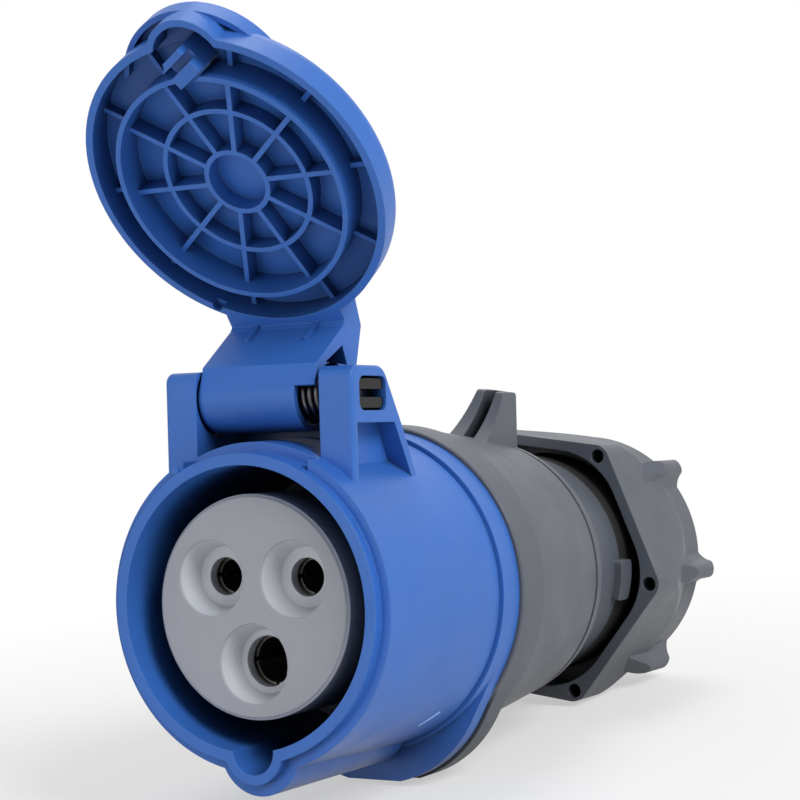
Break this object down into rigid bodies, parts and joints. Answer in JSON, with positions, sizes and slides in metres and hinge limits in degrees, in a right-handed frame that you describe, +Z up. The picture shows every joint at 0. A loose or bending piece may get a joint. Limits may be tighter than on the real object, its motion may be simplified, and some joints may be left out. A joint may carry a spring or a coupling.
{
  "type": "industrial cable coupler",
  "caption": "Industrial cable coupler: blue round socket mouth with keyway and sprung hinged lid, grey contact insert, grey cable body and lobed gland nut.",
  "frame": {"origin": "centre of the contact insert's front face", "axes": "-Y out of the mouth along the coupler's axis, +Y towards the cable, +Z up through the lid hinge, +X to the right seen from the mouth"},
  "size_m": [0.055, 0.1425, 0.1202],
  "materials": {
    "blue_plastic": "satin moulded polyamide",
    "insert_plastic": "fine grained moulding",
    "grey_plastic": "satin moulded polyamide",
    "black_plastic": "satin moulded plastic",
    "white_plastic": "plain moulding",
    "black_rubber": "matte",
    "brass": "machined",
    "zinc_steel": "zinc plated",
    "spring_steel": "dark oiled spring wire"
  },
  "bodies": {
    "housing": {"front_collar": "blue_plastic", "insert_face": "insert_plastic", "contact_carrier": "insert_plastic", "carrier_rear_cover": "insert_plastic", "carrier_screws": "zinc_steel", "body_seal_ring": "black_rubber", "rear_body": "grey_plastic", "cable_seal": "black_rubber", "clamping_cage": "white_plastic", "hinge_pin": "black_plastic", "lid_spring": "spring_steel", "terminal_screws": "zinc_steel", "line_contact": "brass", "line_contact_ring": "spring_steel", "line_pressure_plate": "zinc_steel", "neutral_contact": "brass", "neutral_contact_ring": "spring_steel", "neutral_pressure_plate": "zinc_steel", "earth_contact": "brass", "earth_contact_ring": "spring_steel", "earth_pressure_plate": "zinc_steel"},
    "lid": {"lid": "blue_plastic"},
    "gland_ring": {"thrust_ring": "white_plastic"},
    "gland_nut": {"gland_nut": "grey_plastic"}
  },
  "joints": [
    {"name": "lid_hinge", "type": "hinge", "parent": "housing", "child": "lid", "pos_m": [0, 0.0088, 0.0316], "axis": [1, 0, 0], "range_deg": [0, 143.5]},
    {"name": "gland_ring_slide", "type": "slide", "parent": "housing", "child": "gland_ring", "axis": [0, -1, 0], "range_m": [-0.003, 0.006]},
    {"name": "gland_nut_turn", "type": "hinge", "parent": "gland_ring", "child": "gland_nut", "pos_m": [0, 0.113, 0], "axis": [0, -1, 0], "range_deg": [-360, 720]}
  ],
  "couplings": [
    {"joint": "gland_ring_slide", "follows": "gland_nut_turn", "m_per_rad": 0.00047746}
  ]
}
